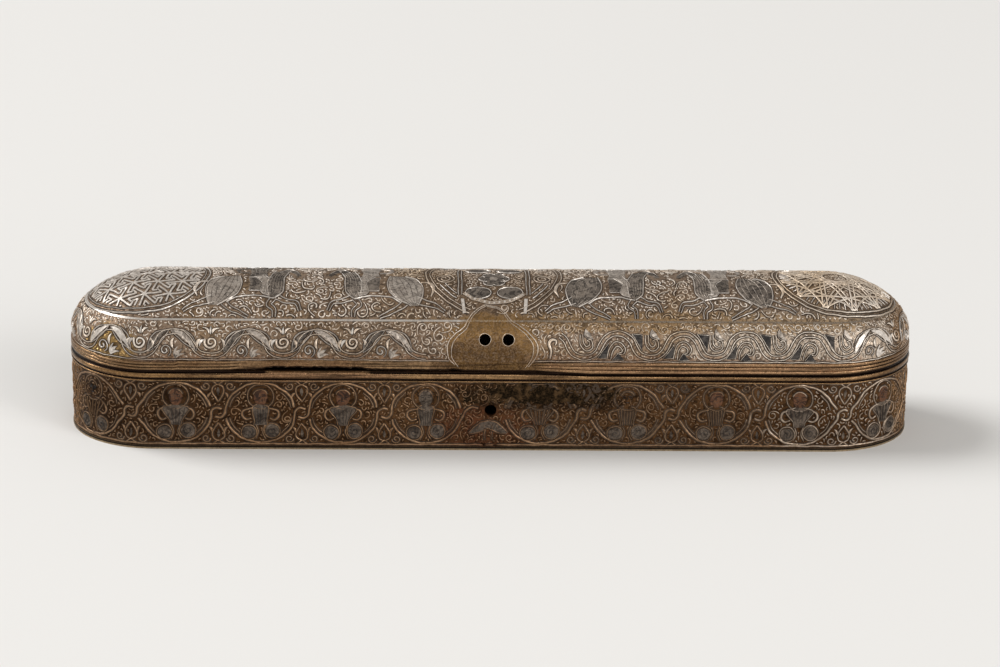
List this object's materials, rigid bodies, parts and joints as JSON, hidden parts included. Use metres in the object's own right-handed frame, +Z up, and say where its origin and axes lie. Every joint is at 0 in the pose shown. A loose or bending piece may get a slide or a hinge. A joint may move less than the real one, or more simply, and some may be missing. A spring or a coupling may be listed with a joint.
{
  "type": "pen box",
  "caption": "Round-ended brass pen box with a vaulted hinged lid, inlaid bands, a pen tray and a fitted inkwell end under a small hinged cover.",
  "frame": {"origin": "middle of the base plate's underside, on the table", "axes": "+X along the box, -Y to the front with the clasp holes, +Z up"},
  "size_m": [0.3, 0.0663, 0.0549],
  "materials": {
    "case_brass": "old brown brass, worn and stained, with engraved ground",
    "lid_brass": "old yellow-brown brass, rubbed bright on the crown",
    "rim_brass": "reddish brass, smooth and worn along the edges",
    "hinge_brass": "plain filed brass",
    "pin_brass": "peened brass",
    "fitting_brass": "dull brass, stained by ink",
    "silver_inlay": "tarnished silver sheet and wire, hammered into the ground",
    "black_compound": "black organic filling of the cut-back ground",
    "copper_inlay": "red copper left where silver is lost",
    "gold_inlay": "thin gold inlay, rubbed"
  },
  "bodies": {
    "case": {"base_plate": "case_brass", "case_wall": "case_brass", "case_rim": "rim_brass", "case_hinge_leaf_left": "hinge_brass", "case_hinge_leaf_right": "hinge_brass", "hinge_pin_left": "pin_brass", "hinge_pin_right": "pin_brass", "case_hinge_rivets": "pin_brass", "bulkhead": "fitting_brass", "fitting_plate": "fitting_brass", "inkwell_cup": "fitting_brass", "sand_pot": "fitting_brass", "paste_pot": "fitting_brass", "inkwell_hinge_lugs": "hinge_brass", "inkwell_hinge_pin": "pin_brass"},
    "lid": {"lid_shell": "lid_brass", "lid_rim": "rim_brass", "shoulder_wire": "silver_inlay", "lid_hinge_leaf_left": "hinge_brass", "lid_hinge_leaf_right": "hinge_brass", "lid_hinge_rivets": "pin_brass"},
    "ink_cover": {"inkwell_lid": "fitting_brass", "inkwell_knob": "pin_brass"}
  },
  "joints": [
    {"name": "lid_hinge", "type": "hinge", "parent": "case", "child": "lid", "pos_m": [0, 0.03265, 0.02915], "axis": [-1, 0, 0], "range_deg": [0, 110]},
    {"name": "ink_cover_hinge", "type": "hinge", "parent": "case", "child": "ink_cover", "pos_m": [0.119, 0.0147, 0.01905], "axis": [-1, 0, 0], "range_deg": [0, 100]}
  ]
}
